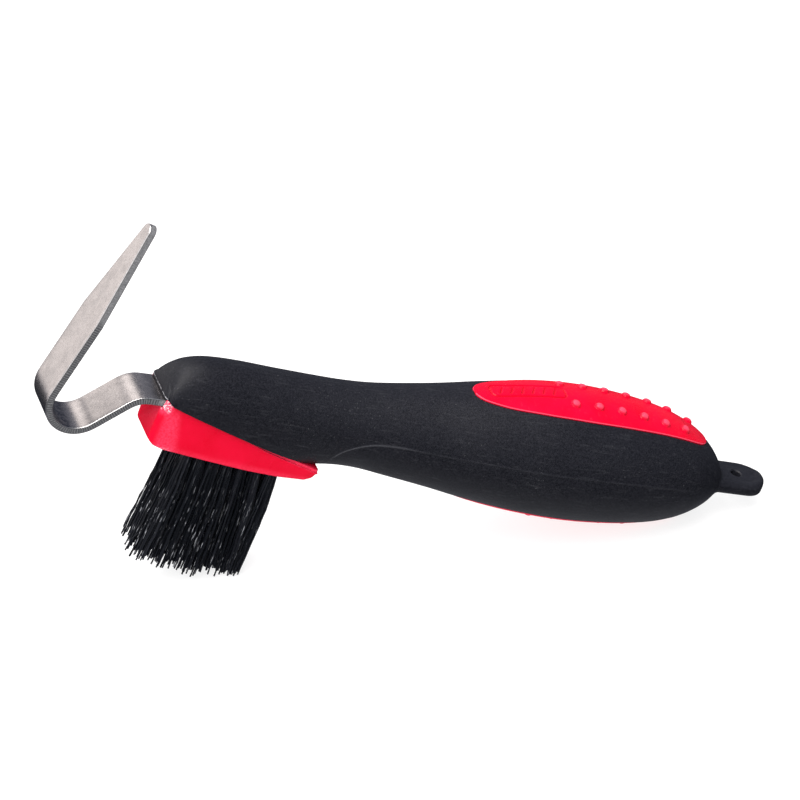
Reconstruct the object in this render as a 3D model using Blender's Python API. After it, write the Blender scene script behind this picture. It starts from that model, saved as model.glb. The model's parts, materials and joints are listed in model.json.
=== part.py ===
"""Hoof pick with a brush: a bent steel pick and a tufted brush on a moulded two-colour handle.

Every sub-part is modelled in the handle's own axes, in metres: the origin is at the nose, where
the steel leaves the handle, +X runs back to the hanging tab, +Z is the side of the pick and +Y is
across. One empty carries them all and stands the tool on its bristle tips and on its belly.
"""

from math import cos, hypot, pi, radians, sin

import bmesh
import bpy
from mathutils import Vector

MM = 0.001
GAP = 0.3 * MM
BEYOND = 30 * MM  # how far a cutting tool reaches past the handle's middle

# How the tool stands: tail down by this angle, and the nose this far from the origin.
STAND_TILT = radians(16.2)
NOSE_X = -74.82 * MM
NOSE_Z = 62.45 * MM

# Steel pick: one strip, bent twice, with a tapered prong and a tang inside the handle.
STRIP_WIDTH = 12.7 * MM
STRIP_THICK = 2.1 * MM
TANG_LENGTH = 38.0 * MM
TANG_HALF_WIDTH = 4.8 * MM
TANG_NECK_X = 8.5 * MM
CREST_X = -4.0 * MM
CREST_RADIUS = 7.0 * MM
CREST_TURN = radians(45)
SHANK_LENGTH = 11.2 * MM
HOOK_RADIUS = 8.3 * MM
PRONG_ANGLE = radians(76.5)
PRONG_STRAIGHT = 23.0 * MM
PRONG_TAPER = 30.0 * MM
TIP_WIDTH = 4.6 * MM
TANG_HOLE_RADIUS = 2.6 * MM

# Handle outline at stations along it: x, top, bottom, half width, level of the widest line.
HANDLE_STATIONS = [
    (0, 2.0, -16.0, 7.2, -0.5),
    (1.2, 4.6, -16.0, 7.5, -0.6),
    (3, 7.3, -16.2, 7.8, -0.8),
    (6, 9.3, -16.5, 8.3, -1.0),
    (11, 10.5, -17.0, 8.8, -1.3),
    (20, 10.6, -17.3, 9.4, -1.8),
    (32, 9.8, -17.0, 9.9, -2.2),
    (44, 9.2, -16.0, 10.2, -2.7),
    (53, 8.9, -15.2, 10.5, -3.0),
    (62, 9.1, -15.1, 11.1, -3.0),
    (72, 10.0, -16.2, 12.5, -3.0),
    (84, 11.5, -17.6, 14.4, -3.0),
    (98, 13.8, -19.6, 16.6, -2.9),
    (112, 15.7, -20.9, 18.3, -2.7),
    (126, 16.3, -21.4, 19.0, -2.6),
    (140, 15.5, -20.9, 18.2, -2.7),
    (152, 13.6, -19.6, 16.6, -2.9),
    (161, 10.8, -17.4, 14.1, -3.2),
    (167.5, 7.3, -14.4, 11.0, -3.4),
    (172, 3.4, -10.9, 7.7, -3.7),
    (175, -0.6, -7.0, 4.0, -3.8),
]
HEAD_END = 30.0 * MM
NECK_START = 58.0 * MM
HEAD_SQUARENESS = 3.2
RUBBER_WALL = 2.8 * MM

# Hard core: where it starts and ends, and the pockets that leave a web along its middle.
CORE_START = 9.0 * MM
CORE_END = 164.0 * MM
CORE_WEB = 6.0 * MM
CORE_POCKETS = 4
CORE_POCKET_HALF = 5.5 * MM
CORE_POCKET_FIRST_X = 101.0 * MM
CORE_POCKET_LAST_X = 149.0 * MM

# Hanging tab: a flat eye of rubber at the tail.
TAB_START = 170.0 * MM
TAB_END = 190.2 * MM
TAB_HALF_WIDTH = 6.6 * MM
TAB_LEVEL = -3.8 * MM
TAB_THICK = 4.6 * MM
TAB_EYE_X = 181.2 * MM
TAB_EYE_RADIUS = 1.6 * MM

# Red inlays, above and below, with rows of nubs. Half width against distance along the handle.
PAD_OUTLINE = [(90.2, 0), (90.8, 2.0), (92.4, 3.8), (95.5, 5.35), (100, 6.8), (106, 8.0), (114, 9.1),
               (126, 9.8), (139, 9.3), (150, 8.2), (158, 6.8), (163, 5.2), (165.6, 3.0), (166.5, 0)]
PAD_PROUD = 0.25 * MM
PAD_THICK = 2.8 * MM
NUB_RADIUS = 1.25 * MM
NUB_HEIGHT = 0.9 * MM
NUB_ROWS = [(-4.6 * MM, 119.5 * MM, 7.4 * MM, 6), (4.6 * MM, 117.8 * MM, 7.2 * MM, 7)]
NUB_TAPER_X = 155.0 * MM

# Brush block: its sloping seat under the head, its underside, pegs and tuft holes.
SEAT_LEVEL = -0.4 * MM
SEAT_SLOPE = -0.278
BLOCK_UNDERSIDE = [(0.6, -13.2), (1.6, -14.2), (4.6, -15.2), (17, -16.8), (30, -18.0),
                   (40, -18.6), (47.5, -18.5), (49.4, -17.6), (50.6, -15.7)]
BLOCK_FRONT_HALF = 7.3 * MM
BLOCK_REAR_HALF = 8.6 * MM
BLOCK_DRAFT = 0.7 * MM
PEG_RADIUS = 2.0 * MM
PEGS = [(25.0 * MM, 3.2 * MM), (41.0 * MM, -4.2 * MM)]
TUFT_COLUMNS = 7
TUFT_ROWS = 3
TUFT_FIRST_X = 14.1 * MM
TUFT_LAST_X = 38.5 * MM
TUFT_ROW_PITCH = 4.8 * MM
TUFT_HOLE_RADIUS = 1.65 * MM
TUFT_HOLE_DEPTH = 5.2 * MM
TUFT_TIP_FIRST_X = 9.6 * MM
TUFT_TIP_LAST_X = 38.7 * MM
TUFT_TIP_ROW_PITCH = 5.1 * MM
TUFT_TIP_RADIUS = 2.05 * MM
TUFT_TIP_FRONT_Z = -50.8 * MM
TUFT_TIP_REAR_Z = -53.2 * MM
STAPLE_SIZE = (0.5 * MM, 3.0 * MM, 1.2 * MM)


def clear_scene():
    """Take every object out of the open scene."""
    for item in list(bpy.data.objects):
        bpy.data.objects.remove(item, do_unlink=True)


def make_material(name, colour, roughness, metallic=0.0):
    """A Principled material in one colour."""
    material = bpy.data.materials.new(name)
    material.use_nodes = True
    shader = material.node_tree.nodes["Principled BSDF"]
    shader.inputs["Base Color"].default_value = (*colour, 1.0)
    shader.inputs["Roughness"].default_value = roughness
    shader.inputs["Metallic"].default_value = metallic
    material.diffuse_color = (*colour, 1.0)
    return material


def new_object(name, mesh_builder, material=None):
    """Wrap a filled bmesh in an object, with its faces turned outwards."""
    bmesh.ops.recalc_face_normals(mesh_builder, faces=mesh_builder.faces)
    mesh = bpy.data.meshes.new(name)
    mesh_builder.to_mesh(mesh)
    mesh_builder.free()
    item = bpy.data.objects.new(name, mesh)
    bpy.context.scene.collection.objects.link(item)
    if material:
        mesh.materials.append(material)
    return item


def shade(item, angle=40):
    """Smooth shading with sharp edges kept."""
    item.data.shade_smooth()
    item.data.set_sharp_from_angle(angle=radians(angle))


def make_cutter(item):
    """Mark an object as a tool for Boolean cuts only."""
    item.hide_render = True
    item.display_type = "WIRE"
    return item


def cut(item, tool, operation="DIFFERENCE"):
    """Add an exact Boolean of one object by another."""
    modifier = item.modifiers.new(f"{operation.lower()}_{tool.name}", "BOOLEAN")
    modifier.operation = operation
    modifier.solver = "EXACT"
    modifier.object = tool


def loft(rings):
    """Skin closed rings of equal length, with a flat cap on each end."""
    mesh_builder = bmesh.new()
    loops = [[mesh_builder.verts.new(point) for point in ring] for ring in rings]
    count = len(rings[0])
    for near, far in zip(loops, loops[1:]):
        for i in range(count):
            j = (i + 1) % count
            mesh_builder.faces.new((near[i], near[j], far[j], far[i]))
    mesh_builder.faces.new(loops[0])
    mesh_builder.faces.new(loops[-1])
    return mesh_builder


def extrude_outline(outline, low, high, place):
    """Extrude a flat outline between two levels; place turns (u, v, level) into a point."""
    rings = [[place(u, v, level) for u, v in outline] for level in (low, high)]
    return loft(rings)


def box(name, low, high):
    """A block between two corners."""
    outline = [(low[0], low[1]), (high[0], low[1]), (high[0], high[1]), (low[0], high[1])]
    mesh_builder = extrude_outline(outline, low[2], high[2], lambda x, y, z: (x, y, z))
    return new_object(name, mesh_builder)


def round_bar(name, start, end, radius, segments=16):
    """A straight round bar between two points."""
    axis = (Vector(end) - Vector(start)).normalized()
    turn = axis.to_track_quat("Z", "Y").to_matrix()
    ring = [turn @ Vector((cos(a), sin(a), 0)) * radius for a in circle_angles(segments)]
    rings = [[Vector(centre) + point for point in ring] for centre in (start, end)]
    return new_object(name, loft(rings))


def circle_angles(segments):
    """Equal steps round a full turn."""
    return [2 * pi * i / segments for i in range(segments)]


def blend(x, start, end):
    """Smooth step from 0 at start to 1 at end."""
    t = min(max((x - start) / (end - start), 0.0), 1.0)
    return t * t * (3 - 2 * t)


def spline(table, x, column):
    """Cubic curve through one column of a table of millimetres, at x in metres."""
    x = min(max(x / MM, table[0][0]), table[-1][0])
    last = len(table) - 1
    i = max(k for k in range(last) if table[k][0] <= x)

    def slope(k):
        a, b = table[max(k - 1, 0)], table[min(k + 1, last)]
        return (b[column] - a[column]) / (b[0] - a[0])

    (x0, y0), (x1, y1) = ((table[k][0], table[k][column]) for k in (i, i + 1))
    span = x1 - x0
    t = (x - x0) / span
    hermite = (
        (2 * t**3 - 3 * t**2 + 1) * y0
        + (t**3 - 2 * t**2 + t) * span * slope(i)
        + (3 * t**2 - 2 * t**3) * y1
        + (t**3 - t**2) * span * slope(i + 1)
    )
    return hermite * MM


def handle_ring(x, inset=0.0, segments=32):
    """One cross section of the handle, moved inwards by inset."""
    top, bottom, half, level = (spline(HANDLE_STATIONS, x, column) for column in (1, 2, 3, 4))
    squareness = 2 + (HEAD_SQUARENESS - 2) * (1 - blend(x, HEAD_END, NECK_START))
    ring = []
    for angle in circle_angles(segments):
        c, s = cos(angle), sin(angle)
        power = 2 / squareness if s < 0 else 1.0
        y = (half - inset) * abs(c) ** power * (1 if c > 0 else -1)
        reach = (top - level - inset) if s > 0 else (level - bottom - inset)
        z = level + reach * abs(s) ** power * (1 if s > 0 else -1)
        ring.append((x, y, z))
    return ring


def handle_surface(x, y, side):
    """Height of the handle at one place, on its upper (+1) or lower (-1) side."""
    top, bottom, half, level = (spline(HANDLE_STATIONS, x, column) for column in (1, 2, 3, 4))
    reach = top - level if side > 0 else level - bottom
    return level + side * reach * max(1 - (y / half) ** 2, 0.0) ** 0.5


def handle_loft(name, xs, inset=0.0, segments=32):
    """The handle's outer form, or a smaller one inside it."""
    return new_object(name, loft([handle_ring(x, inset, segments) for x in xs]))


def pick_path():
    """Middle line of the steel from the tang's end to the tip: (x, z, heading, half width)."""
    half = STRIP_WIDTH / 2
    x, z = TANG_LENGTH, -STRIP_THICK / 2
    path = [(x, z, pi, TANG_HALF_WIDTH), (TANG_NECK_X, z, pi, TANG_HALF_WIDTH),
            (TANG_NECK_X - 3 * MM, z, pi, half), (CREST_X, z, pi, half)]
    x = CREST_X
    heading = pi

    def turn(radius, start, end, steps, left):
        nonlocal x, z
        side = 1 if left else -1
        centre_x = x - side * radius * sin(start)
        centre_z = z + side * radius * cos(start)
        for i in range(1, steps + 1):
            angle = start + (end - start) * i / steps
            x = centre_x + side * radius * sin(angle)
            z = centre_z - side * radius * cos(angle)
            path.append((x, z, angle, half))

    def straight(length, end_half):
        nonlocal x, z
        x += length * cos(heading)
        z += length * sin(heading)
        path.append((x, z, heading, end_half))

    turn(CREST_RADIUS, pi, pi + CREST_TURN, 4, True)
    heading = pi + CREST_TURN
    straight(SHANK_LENGTH, half)
    turn(HOOK_RADIUS, heading, PRONG_ANGLE, 12, False)
    heading = PRONG_ANGLE
    straight(PRONG_STRAIGHT, half)
    tip_radius = TIP_WIDTH / 2
    straight(PRONG_TAPER - tip_radius, tip_radius)
    last = 0.0
    for angle in (30, 60, 80):
        reach = tip_radius * sin(radians(angle))
        straight(reach - last, tip_radius * cos(radians(angle)))
        last = reach
    return path


def build_pick(material):
    """The strip: a flat rectangle section carried along its path, with the peg hole."""
    rings = []
    for x, z, heading, half in pick_path():
        across = (-sin(heading) * STRIP_THICK / 2, cos(heading) * STRIP_THICK / 2)
        rings.append([
            (x + across[0], -half, z + across[1]),
            (x + across[0], half, z + across[1]),
            (x - across[0], half, z - across[1]),
            (x - across[0], -half, z - across[1]),
        ])
    pick = new_object("pick_blade", loft(rings), material)
    x = PEGS[0][0]
    cut(pick, make_cutter(round_bar("tang_hole_tool", (x, 0, -5 * MM), (x, 0, 5 * MM),
                                    TANG_HOLE_RADIUS)))
    shade(pick, 25)
    return pick


def seat_wedge(name, drop):
    """Everything under the sloping seat of the brush block, as far back as the seat reaches."""
    back = 53.0 * MM

    def seat(x):
        return SEAT_LEVEL - drop + SEAT_SLOPE * x

    front = -5 * MM
    outline = [(front, seat(front)), (back, seat(back)), (back, -BEYOND), (front, -BEYOND)]
    return make_cutter(new_object(name, extrude_outline(
        outline, -BEYOND, BEYOND, lambda x, z, y: (x, y, z))))


def pad_outline(inset):
    """Outline of an inlay seen from above, drawn in by inset."""
    middle = (PAD_OUTLINE[0][0] + PAD_OUTLINE[-1][0]) / 2 * MM
    half = []
    for u, v in PAD_OUTLINE:
        x, y = u * MM, v * MM
        inward = inset * (middle - x) / hypot(x - middle, y)
        half.append((x + inward, max(y - inset, 0.0)))
    return half + [(x, -y) for x, y in reversed(half[1:-1])]


def pad_window(name, side, inset, depth):
    """A prism through the handle's skin in the shape of an inlay."""
    outline = pad_outline(inset)
    low, high = sorted((side * depth, side * BEYOND))
    return make_cutter(new_object(name, extrude_outline(
        outline, low, high, lambda x, y, z: (x, y, z))))


def spaced(start, end, count):
    """Evenly spaced values from start to end."""
    return [start + (end - start) * i / (count - 1) for i in range(count)]


def outer_stations():
    """Where the handle's outer rings lie."""
    return [u * MM for u in (0, 1.2, 3, 6, 11, 20, 32, 44, 53, 58, 65, 72, 78, 84, 91, 98, 105, 112,
                             119, 126, 133, 140, 146, 152, 157, 161, 164.5, 167.5, 170, 172, 174, 175)]


def build_core(material):
    """The hard skeleton inside the rubber, moulded round the tang, with weight-saving pockets."""
    inset = RUBBER_WALL + GAP
    core = handle_loft("handle_core", spaced(CORE_START, CORE_END, 20), inset, 20)
    core.data.materials.append(material)
    cut(core, seat_wedge("core_seat_tool", 0.0))
    slot_half = TANG_HALF_WIDTH + GAP
    cut(core, make_cutter(box("tang_slot_tool",
                              (0, -slot_half, -STRIP_THICK - GAP),
                              (TANG_LENGTH + GAP, slot_half, GAP))))
    for number, (x, height) in enumerate(PEGS, 1):
        cut(core, make_cutter(round_bar(f"core_peg_tool_{number}", (x, 0, -BEYOND),
                                        (x, 0, height + GAP), PEG_RADIUS + GAP)))
    half = CORE_POCKET_HALF
    for side, label in ((1, "upper"), (-1, "lower")):
        low, high = sorted((TAB_LEVEL + side * CORE_WEB / 2, side * BEYOND))
        for number, x in enumerate(spaced(CORE_POCKET_FIRST_X, CORE_POCKET_LAST_X, CORE_POCKETS), 1):
            cut(core, make_cutter(box(f"{label}_pocket_tool_{number}",
                                      (x - half, -half, low), (x + half, half, high))))
    shade(core)
    return core


def build_grip(material):
    """The rubber skin, open for the inlays, the core, the brush block and the steel."""
    grip = handle_loft("rubber_grip", outer_stations())
    grip.data.materials.append(material)
    cavity = handle_loft("core_cavity_tool", spaced(CORE_START - GAP, CORE_END + GAP, 20),
                         RUBBER_WALL, 20)
    cut(grip, make_cutter(build_tab_tool()), "UNION")
    cut(grip, make_cutter(cavity))
    cut(grip, seat_wedge("grip_seat_tool", 0.0))
    slot_half = STRIP_WIDTH / 2 + GAP
    cut(grip, make_cutter(box("steel_slot_tool", (-2 * MM, -slot_half, -20 * MM),
                              (10 * MM, slot_half, GAP))))
    for side, label in ((1, "upper"), (-1, "lower")):
        cut(grip, pad_window(f"{label}_window_tool", side, 0.0, 1.0 * MM))
    cut(grip, make_cutter(round_bar("eye_tool", (TAB_EYE_X, 0, -BEYOND), (TAB_EYE_X, 0, BEYOND),
                                    TAB_EYE_RADIUS)))
    shade(grip)
    return grip


def build_tab_tool():
    """The hanging tab's flat eye, which the grip takes in."""
    outline = []
    radius = TAB_HALF_WIDTH
    centre = TAB_END - radius
    for i in range(13):
        angle = -pi / 2 + pi * i / 12
        outline.append((centre + radius * cos(angle), radius * sin(angle)))
    outline += [(TAB_START, TAB_HALF_WIDTH + 0.6 * MM), (TAB_START, -TAB_HALF_WIDTH - 0.6 * MM)]
    return new_object("hanging_tab_tool", extrude_outline(
        outline, TAB_LEVEL - TAB_THICK / 2, TAB_LEVEL + TAB_THICK / 2, lambda x, y, z: (x, y, z)))


def build_pad(name, side, material):
    """A red inlay: a slice of the handle's skin, slightly proud, with nubs."""
    xs = spaced(86 * MM, 170 * MM, 22)
    pad = handle_loft(name, xs, -PAD_PROUD, 32)
    pad.data.materials.append(material)
    inner = handle_loft(f"{name}_inside_tool", spaced(80 * MM, 174 * MM, 14), PAD_THICK, 24)
    cut(pad, make_cutter(inner))
    cut(pad, pad_window(f"{name}_outline_tool", side, GAP, 1.0 * MM), "INTERSECT")
    number = 0
    for row_y, start, pitch, count in NUB_ROWS:
        for i in range(count):
            number += 1
            x = start + i * pitch
            y = row_y * (0.8 if x > NUB_TAPER_X else 1.0)
            nub = build_nub(f"{name}_nub_tool_{number:02d}", x, y, side)
            cut(pad, make_cutter(nub), "UNION")
    shade(pad)
    return pad


def build_nub(name, x, y, side):
    """A low dome standing square to the inlay's surface."""
    step = 0.5 * MM
    foot = Vector((x, y, handle_surface(x, y, side)))
    along = Vector((x + step, y, handle_surface(x + step, y, side))) - foot
    across = Vector((x, y + step, handle_surface(x, y + step, side))) - foot
    normal = along.cross(across).normalized() * side
    turn = normal.to_track_quat("Z", "Y").to_matrix()
    levels = [(-1.0 * MM, 1.0), (PAD_PROUD, 1.0), (PAD_PROUD + 0.6 * NUB_HEIGHT, 0.8),
              (PAD_PROUD + NUB_HEIGHT, 0.4)]
    rings = []
    for level, share in levels:
        radius = NUB_RADIUS * share
        rings.append([foot + turn @ Vector((radius * cos(a), radius * sin(a), level))
                      for a in circle_angles(8)])
    return new_object(name, loft(rings))


def block_half_width(x):
    """Half width of the brush block at its seat."""
    return BLOCK_FRONT_HALF + (BLOCK_REAR_HALF - BLOCK_FRONT_HALF) * blend(x, -4 * MM, 36 * MM)


def build_block(material):
    """The red brush block: seat above, tuft holes below, two pegs up into the core."""
    rings = []
    for u, v in BLOCK_UNDERSIDE:
        x, under = u * MM, v * MM
        top = SEAT_LEVEL - GAP + SEAT_SLOPE * x
        wide = block_half_width(x)
        narrow = wide - BLOCK_DRAFT
        corner = 0.8 * MM
        rings.append([(x, -wide, top), (x, wide, top), (x, narrow, under + corner),
                      (x, narrow - corner * 0.3, under + corner * 0.3), (x, narrow - corner, under),
                      (x, corner - narrow, under), (x, corner * 0.3 - narrow, under + corner * 0.3),
                      (x, -narrow, under + corner)])
    block = new_object("brush_block", loft(rings), material)
    slot_half = STRIP_WIDTH / 2 + GAP * 0.8
    cut(block, make_cutter(box("strip_channel_tool", (-3 * MM, -slot_half, -STRIP_THICK - GAP),
                               (30 * MM, slot_half, 9 * MM))))
    for number, (x, height) in enumerate(PEGS, 1):
        peg = round_bar(f"peg_tool_{number}", (x, 0, -15 * MM), (x, 0, height), PEG_RADIUS)
        cut(block, make_cutter(peg), "UNION")
    for number, (root, tip) in enumerate(tuft_lines(), 1):
        down = (tip - root).normalized()
        hole = round_bar(f"tuft_hole_tool_{number:02d}", root, root + down * 9 * MM,
                         TUFT_HOLE_RADIUS, 10)
        cut(block, make_cutter(hole))
    shade(block)
    return block


def block_underside(x):
    """Height of the block's underside, which runs straight between its points."""
    u = x / MM
    for (x0, z0), (x1, z1) in zip(BLOCK_UNDERSIDE, BLOCK_UNDERSIDE[1:]):
        if x0 <= u <= x1:
            return (z0 + (z1 - z0) * (u - x0) / (x1 - x0)) * MM
    raise ValueError("x is outside the block")


def tuft_lines():
    """Hole bottom and tip of each tuft, column by column from the nose."""
    lines = []
    for column in range(TUFT_COLUMNS):
        share = column / (TUFT_COLUMNS - 1)
        root_x = TUFT_FIRST_X + (TUFT_LAST_X - TUFT_FIRST_X) * share
        tip_x = TUFT_TIP_FIRST_X + (TUFT_TIP_LAST_X - TUFT_TIP_FIRST_X) * share
        tip_z = TUFT_TIP_FRONT_Z + (TUFT_TIP_REAR_Z - TUFT_TIP_FRONT_Z) * share
        root_z = block_underside(root_x) + TUFT_HOLE_DEPTH
        for row in range(TUFT_ROWS):
            side = row - (TUFT_ROWS - 1) / 2
            lines.append((Vector((root_x, side * TUFT_ROW_PITCH, root_z)),
                          Vector((tip_x, side * TUFT_TIP_ROW_PITCH, tip_z))))
    return lines


def build_tufts(tuft_material, staple_material):
    """Each tuft is one bundle that spreads towards its tip, held in its hole by a flat staple."""
    for number, (root, tip) in enumerate(tuft_lines(), 1):
        down = (tip - root).normalized()
        turn = down.to_track_quat("Z", "Y").to_matrix()
        length = (tip - root).length
        neck = TUFT_HOLE_RADIUS - GAP
        rings = []
        for distance, radius in ((GAP, neck * 0.8), (1.2 * MM, neck), (TUFT_HOLE_DEPTH + GAP, neck),
                                 (length, TUFT_TIP_RADIUS)):
            centre = root + down * distance
            rings.append([centre + turn @ Vector((radius * cos(a), radius * sin(a), 0))
                          for a in circle_angles(8)])
        tuft = new_object(f"bristle_tuft_{number:02d}", loft(rings), tuft_material)
        middle = root + down * 2.4 * MM
        size = Vector(STAPLE_SIZE) / 2
        clear = size + Vector((0.15, 3.0, 0.15)) * MM
        cut(tuft, make_cutter(box(f"staple_slot_tool_{number:02d}", middle - clear, middle + clear)))
        shade(tuft)
        staple = box(f"tuft_staple_{number:02d}", middle - size, middle + size)
        staple.data.materials.append(staple_material)


def build():
    """Make every sub-part and stand the tool on its bristles and its belly."""
    clear_scene()
    steel = make_material("brushed_steel", (0.55, 0.54, 0.53), 0.35, 1.0)
    rubber = make_material("black_rubber", (0.022, 0.023, 0.027), 0.6)
    red = make_material("red_plastic", (0.8, 0.004, 0.03), 0.38)
    hidden = make_material("core_plastic", (0.05, 0.05, 0.05), 0.5)
    nylon = make_material("black_nylon", (0.012, 0.012, 0.013), 0.3)
    wire = make_material("staple_wire", (0.6, 0.55, 0.4), 0.35, 1.0)
    build_pick(steel)
    build_core(hidden)
    build_grip(rubber)
    build_pad("top_grip_pad", 1, red)
    build_pad("bottom_grip_pad", -1, red)
    build_block(red)
    build_tufts(nylon, wire)
    stand = bpy.data.objects.new("standing_place", None)
    bpy.context.scene.collection.objects.link(stand)
    stand.location = (NOSE_X, 0, NOSE_Z)
    stand.rotation_euler = (0, STAND_TILT, 0)
    for item in list(bpy.context.scene.collection.objects):
        if item is not stand:
            item.parent = stand


build()
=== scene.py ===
"""The looks of a hoof pick with a brush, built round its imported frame.

Every piece is modelled in the handle's own axes in millimetres: the origin is at the nose, where
the steel leaves the handle, +X runs back to the hanging tab and +Z is the side of the pick. The
hanging tab's mount in the record says where those axes stand in the frame.
"""

import json
from math import atan2, cos, exp, pi, radians, sin

import bmesh
import bpy
import numpy as np
from mathutils import Matrix, Vector


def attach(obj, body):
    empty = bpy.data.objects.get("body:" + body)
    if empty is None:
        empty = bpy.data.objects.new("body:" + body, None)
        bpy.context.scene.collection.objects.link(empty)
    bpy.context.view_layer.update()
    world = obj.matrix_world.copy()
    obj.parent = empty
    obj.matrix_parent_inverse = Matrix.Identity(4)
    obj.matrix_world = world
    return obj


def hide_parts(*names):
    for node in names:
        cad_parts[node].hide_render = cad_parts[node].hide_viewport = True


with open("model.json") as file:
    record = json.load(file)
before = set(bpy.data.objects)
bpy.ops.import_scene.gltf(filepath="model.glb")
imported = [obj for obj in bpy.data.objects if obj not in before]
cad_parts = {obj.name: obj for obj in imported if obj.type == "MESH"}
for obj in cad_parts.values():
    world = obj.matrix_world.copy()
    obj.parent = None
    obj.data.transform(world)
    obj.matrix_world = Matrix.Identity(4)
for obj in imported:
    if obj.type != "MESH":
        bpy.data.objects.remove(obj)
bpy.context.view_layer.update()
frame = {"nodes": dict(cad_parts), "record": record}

MM = 0.001

# Middle of the hanging tab's flat face. The record's mount gives the same point in the frame.
TAB_FACE = (188, -1.5)

# Handle: x, top, bottom, half width, level of the widest line. It closes behind x 175 inside the tab.
HANDLE_STATIONS = [
    (0, 2, -16, 7.2, -0.5), (1.2, 4.6, -16, 7.5, -0.6), (3, 7.3, -16.2, 7.8, -0.8),
    (6, 9.3, -16.5, 8.3, -1), (11, 10.5, -17, 8.8, -1.3), (20, 10.6, -17.3, 9.4, -1.8),
    (32, 9.8, -17, 9.9, -2.2), (44, 9.2, -16, 10.2, -2.7), (53, 8.9, -15.2, 10.5, -3),
    (62, 9.1, -15.1, 11.1, -3), (72, 10, -16.2, 12.5, -3), (84, 11.5, -17.6, 14.4, -3),
    (98, 13.8, -19.6, 16.6, -2.9), (112, 15.7, -20.9, 18.3, -2.7), (126, 16.3, -21.4, 19, -2.6),
    (140, 15.5, -20.9, 18.2, -2.7), (152, 13.6, -19.6, 16.6, -2.9), (161, 10.8, -17.4, 14.1, -3.2),
    (167.5, 7.3, -14.4, 11, -3.4), (172, 3.4, -10.9, 7.7, -3.7), (175, -0.6, -7, 4, -3.8),
    (176.2, -2.5, -5.3, 1.8, -3.8), (176.8, -3.7, -3.9, 0.1, -3.8),
]
THINNEST = 0.05
HEAD_END, NECK_START, HEAD_SQUARENESS = 30, 58, 3.2
RUBBER_WALL, CAVITY_START, CAVITY_END = 2.8, 8.7, 164.3
NOSE_ROUND, LOWER_ROUND = 0.5, 0.3
# Height of the thin painted highlight line across the nose.
LIP_LEVEL = 0.75
# Slot for the steel under the nose: half width, ceiling, and where it fades out.
SLOT_HALF, SLOT_CEILING, SLOT_FADE = 6.5, 0.1, (7.5, 9)

# Hanging tab. Its section starts to grow at TAB_RISE, inside the handle.
TAB_RISE, TAB_START, TAB_END, TAB_LEVEL = 167, 170, 190.2, -3.8
TAB_HALF, TAB_ROOT_HALF, TAB_HALF_THICK, TAB_EDGE = 6.7, 6.9, 2.4, 1.2
TAB_CENTRE = TAB_END - TAB_HALF
TAB_SQUARENESS, TAB_BLEND, TAB_DISH = 3, 1.6, 0.5
TAB_EYE_X, TAB_EYE_RADIUS = 181.2, 1.55

# Moulding line on each side of the rubber: height against distance along the handle.
SEAM_LINE = [
    (50.8, -13.4), (51.8, -10.2), (52.8, -7.9), (54.2, -6.1), (56.8, -4.3), (61, -2.5),
    (65.5, -1.7), (72, -1.25), (81, -1.1), (88, -0.8), (95, -0.4), (107, 0), (128, 0.7), (148, 0.2),
    (160, -1.2), (170, -3.2), (176, -3.9), (190.2, -3.9),
]
# Height of the moulding line's ridge, and width of the highlight painted along it.
SEAM_HEIGHT, SEAM_HIGHLIGHT_WIDTH = 0.11, 0.22

# Points down each side of the rubber: above and below the moulding line, across it as (place,
# share of its height), and at the lower edge.
UPPER_ROWS, LOWER_ROWS = 48, 18
SEAM_ROWS = [(-0.40, 0), (-0.18, 0.45), (-0.07, 0.9), (0, 1), (0.07, 0.9), (0.18, 0.45), (0.40, 0)]
EDGE_ROWS = np.array([0.30, 0.17, 0.07, 0])

# Red inlays: half width against distance along the handle, and their rows of nubs.
PAD_OUTLINE = [
    (90.2, 0), (90.8, 2), (92.4, 3.8), (95.5, 5.35), (100, 6.8), (106, 8), (114, 9.1), (126, 9.8),
    (139, 9.3), (150, 8.2), (158, 6.8), (163, 5.2), (165.6, 3), (166.5, 0),
]
PAD_PROUD, PAD_DEPTH, PAD_GAP, PAD_ROUND = 0.31, 2.75, 0.08, 0.42
# Cutter for an inlay's seat, from outside inwards: how far it is drawn in, and its level.
WINDOW_STEPS = [(-1.4, 1.2), (-0.30, 0.08), (-0.14, -0.05), (-0.04, -0.17), (0, -0.32), (0, -3.3)]
# Nubs: across, first x, pitch and count of each row; share of the height and radius up a nub.
NUB_ROWS = [(-4.6, 119.5, 7.4, 6), (4.6, 117.8, 7.2, 7)]
NUB_TAPER_X, NUB_SIDES = 155, 28
NUB_PROFILE = [
    (-0.7, 1.2), (-0.12, 1.60), (0.03, 1.44), (0.18, 1.34), (0.44, 1.22), (0.70, 1), (0.87, 0.70),
    (0.96, 0.36), (0.98, 0.04),
]
# Plain sunk frame: middle, half sizes of its core, distance of the line from it; bars; depth.
FRAME_X, FRAME_LONG, FRAME_WIDE, FRAME_OUT, FRAME_LINE = 106.5, 9.6, 0.9, 1.6, 0.27
BAR_REACH, BAR_COUNT, BAR_HALF, BAR_LINE, FRAME_DEPTH = 8, 6, 1.25, 0.30, 0.30

# Brush block.
SEAT_LEVEL, SEAT_SLOPE, SEAT_END = -0.4, -0.278, 53
LUG_RISE, LUG_END, LUG_HALF = 1.15, 3, 6.75
BLOCK_FRONT, BLOCK_CORNER, BLOCK_END, BLOCK_END_ROUND = -0.3, 1.1, 50.6, 1
BLOCK_UNDERSIDE = [
    (-0.3, -12.9), (0.5, -13.7), (1.6, -14.6), (4.6, -15.5), (17, -16.8), (30, -18), (40, -18.6),
    (47.5, -18.5), (49.4, -17.6), (50.6, -15.7),
]
BLOCK_FRONT_HALF, BLOCK_REAR_HALF, BLOCK_DRAFT, BLOCK_ROUND = 7.3, 8.6, 0.7, 0.9
BLOCK_GAP, BLOCK_DIP = 0.06, 0.8
LEDGE_DEPTH, LEDGE_STEP, LEDGE_START, LEDGE_FULL = 0.85, 0.45, 21, 37
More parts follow.
